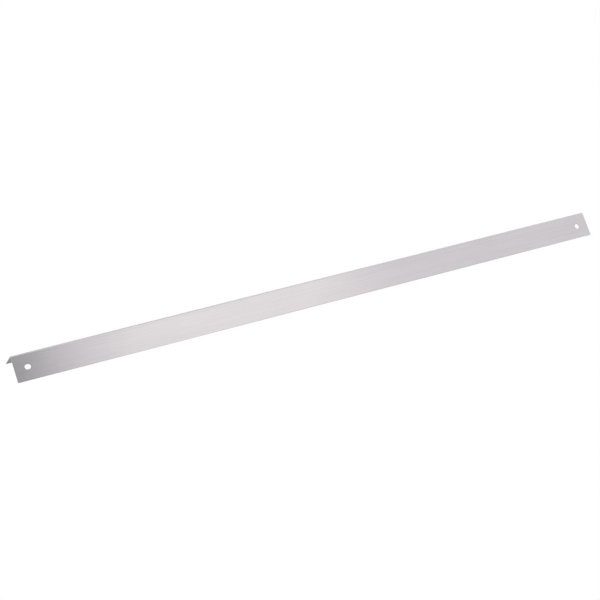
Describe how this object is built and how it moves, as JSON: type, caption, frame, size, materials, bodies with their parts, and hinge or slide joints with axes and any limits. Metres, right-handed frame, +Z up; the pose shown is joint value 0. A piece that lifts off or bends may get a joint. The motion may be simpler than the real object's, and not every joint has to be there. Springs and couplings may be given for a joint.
{
  "type": "magnetic knife rack",
  "caption": "Magnetic knife rack: a satin stainless angle strip with a screw hole near each end and a row of magnets bonded in a steel channel behind its face.",
  "frame": {"origin": "middle of the flange's rear cut edge, in the wall plane", "axes": "+X along the rack to the right of someone facing it, +Y into the wall, +Z up; the knife face looks along -Y"},
  "size_m": [0.61, 0.0247, 0.0247],
  "materials": {
    "stainless": "satin, grain along the length",
    "zinc_steel": "bright zinc plate on mild steel",
    "ferrite": "ground sintered ferrite, dark grey",
    "foam_tape": "matt grey acrylic foam",
    "plug_plastic": "fine moulded black",
    "pad_rubber": "matt moulded rubber"
  },
  "bodies": {
    "root": {"face_angle": "stainless", "bond_tape": "foam_tape", "yoke_channel": "zinc_steel", "magnet_01": "ferrite", "magnet_02": "ferrite", "magnet_03": "ferrite", "magnet_04": "ferrite", "magnet_05": "ferrite", "magnet_06": "ferrite", "magnet_07": "ferrite", "magnet_08": "ferrite", "magnet_09": "ferrite", "magnet_10": "ferrite", "magnet_11": "ferrite", "magnet_12": "ferrite", "magnet_13": "ferrite", "end_plug_left": "plug_plastic", "end_plug_right": "plug_plastic", "wall_pad_left": "pad_rubber", "wall_pad_middle": "pad_rubber", "wall_pad_right": "pad_rubber"}
  },
  "joints": []
}
